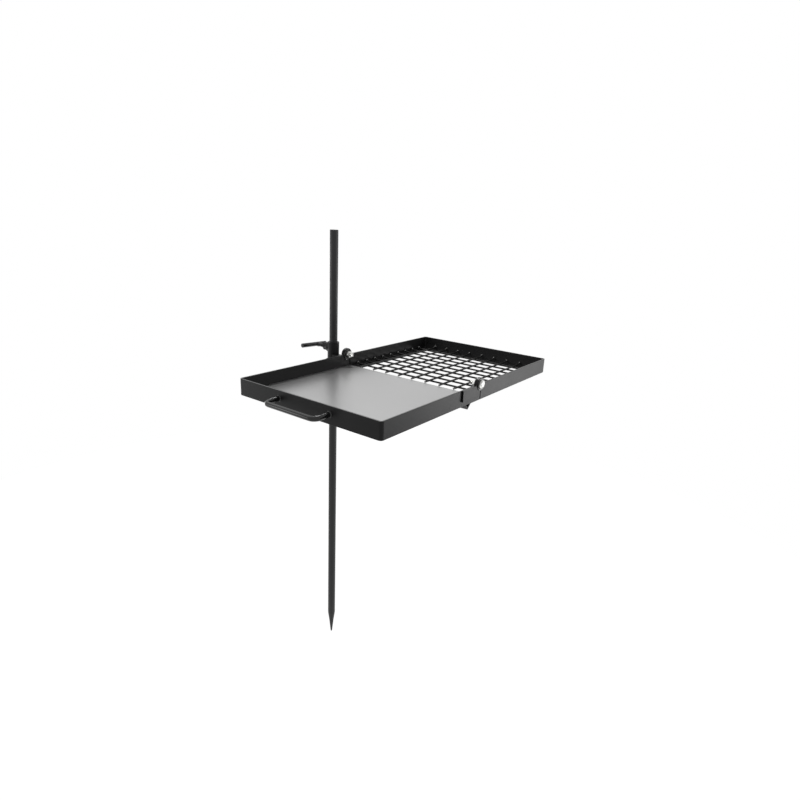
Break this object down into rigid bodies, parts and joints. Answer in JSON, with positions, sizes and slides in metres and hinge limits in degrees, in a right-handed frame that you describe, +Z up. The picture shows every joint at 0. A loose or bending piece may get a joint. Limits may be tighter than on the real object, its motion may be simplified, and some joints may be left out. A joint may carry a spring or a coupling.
{
  "type": "folding campfire grill",
  "caption": "Campfire grill on a ground stake: a griddle pan and a hinged wire grate make one tray that swivels on a sleeve, rests on a clamped stop collar and folds in half.",
  "frame": {"origin": "the stake's point, on the stake's axis", "axes": "+Z up along the stake, +X along the tray towards the grate end, so the griddle end with its handle is at -X; the tray is on the -Y side of the stake"},
  "size_m": [0.637, 0.4288, 1.016],
  "materials": {
    "black_coat": "satin black high-temperature coat",
    "griddle_coat": "smooth satin black coat, a little glossier than the walls",
    "wire_coat": "satin black coat on welded wire",
    "zinc": "bright zinc plate",
    "washer_black": "dull black"
  },
  "bodies": {
    "stake": {"stake": "black_coat"},
    "stop_collar": {"stop_collar": "black_coat", "stop_collar_nut": "black_coat"},
    "stop_screw": {"stop_screw": "black_coat"},
    "griddle_carrier": {"swivel_sleeve": "black_coat", "sleeve_nut": "black_coat", "sleeve_block": "black_coat", "griddle_frame": "black_coat", "griddle_plate": "griddle_coat", "cross_bar": "black_coat", "handle": "black_coat", "hinge_plate_stake_side": "black_coat", "hinge_plate_near_side": "black_coat", "hinge_bolt_stake_side": "zinc", "hinge_washer_outer_stake_side": "washer_black", "hinge_washer_inner_stake_side": "washer_black", "hinge_nut_stake_side": "zinc", "hinge_bolt_near_side": "zinc", "hinge_washer_outer_near_side": "washer_black", "hinge_washer_inner_near_side": "washer_black", "hinge_nut_near_side": "zinc"},
    "sleeve_screw": {"sleeve_screw": "black_coat", "sleeve_screw_bar": "black_coat"},
    "grate": {"grate_frame": "black_coat", "wire_mesh": "wire_coat"}
  },
  "joints": [
    {"name": "height_slide", "type": "slide", "parent": "stake", "child": "stop_collar", "axis": [0, 0, 1], "range_m": [-0.48, 0.235]},
    {"name": "stop_screw_turn", "type": "hinge", "parent": "stop_collar", "child": "stop_screw", "pos_m": [0, 0.03, 0.6647], "axis": [0, 1, 0], "range_deg": [0, 180]},
    {"name": "swivel", "type": "hinge", "parent": "stop_collar", "child": "griddle_carrier", "pos_m": [0, 0, 0.70885], "axis": [0, 0, 1], "continuous": true},
    {"name": "sleeve_screw_turn", "type": "hinge", "parent": "griddle_carrier", "child": "sleeve_screw", "pos_m": [0, 0.03, 0.764], "axis": [0, 1, 0], "range_deg": [0, 180]},
    {"name": "grate_fold", "type": "hinge", "parent": "griddle_carrier", "child": "grate", "pos_m": [0.018, -0.194, 0.7508], "axis": [0, -1, 0], "range_deg": [0, 180]}
  ]
}
